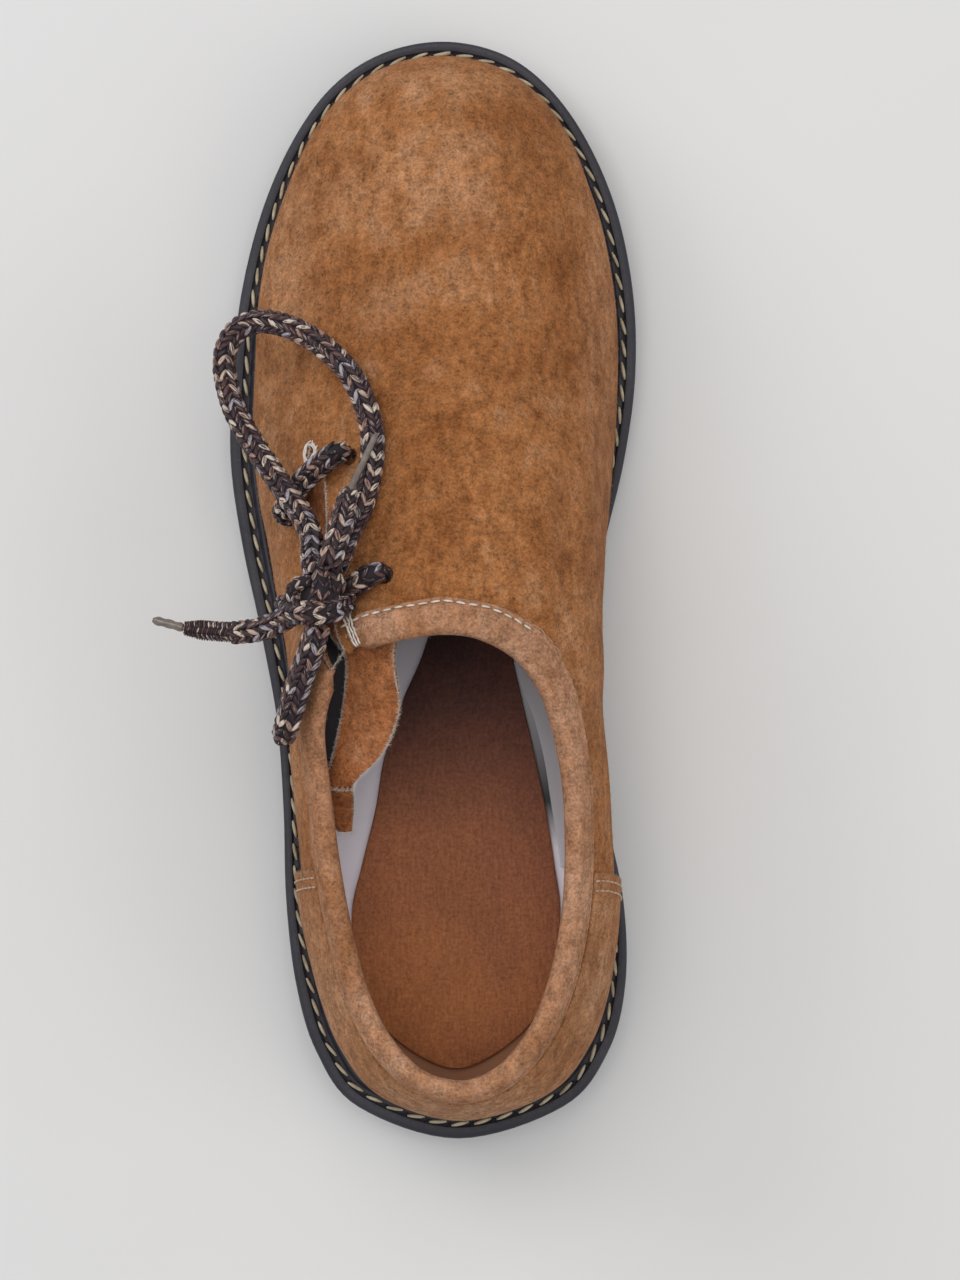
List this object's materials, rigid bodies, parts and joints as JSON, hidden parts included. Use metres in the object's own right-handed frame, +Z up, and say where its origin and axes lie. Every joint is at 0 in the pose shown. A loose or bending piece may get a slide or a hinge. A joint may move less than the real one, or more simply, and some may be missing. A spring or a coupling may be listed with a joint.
{
  "type": "haferl shoe",
  "caption": "Low left shoe of rough suede with side lacing, rolled collar binding, stitched welt and a lugged rubber sole.",
  "frame": {"origin": "on the floor under the middle of the outsole", "axes": "+X to the medial side, +Y from heel to toe, +Z up"},
  "size_m": [0.125, 0.29, 0.0944],
  "materials": {
    "outsole_rubber": "matt, dark navy-black",
    "heel_rubber": "matt, dark navy-black",
    "welt_rubber": "matt, dark navy-black, with beige stitches",
    "insole_lining": "smooth pale grey lining",
    "sock_leather": "fine brown texture",
    "upper_suede": "rough-out suede, tan",
    "quarter_suede": "rough-out suede, tan",
    "binding_suede": "rolled suede, paler tan",
    "tongue_suede": "rough-out suede, tan",
    "lace_cord": "round braid, dark with beige and lilac strands",
    "aglet_film": "thin grey film"
  },
  "bodies": {
    "root": {"outsole": "outsole_rubber", "heel": "heel_rubber", "welt": "welt_rubber", "insole": "insole_lining", "insole_sock": "sock_leather", "upper": "upper_suede", "heel_quarter": "quarter_suede", "collar_binding": "binding_suede", "tongue": "tongue_suede", "lace_bar_front": "lace_cord", "lace_bar_rear": "lace_cord", "lace_loop_front": "lace_cord", "lace_loop_rear": "lace_cord", "lace_end_upper": "lace_cord", "lace_end_outer": "lace_cord", "lace_knot": "lace_cord", "aglet_upper": "aglet_film", "aglet_outer": "aglet_film"}
  },
  "joints": []
}
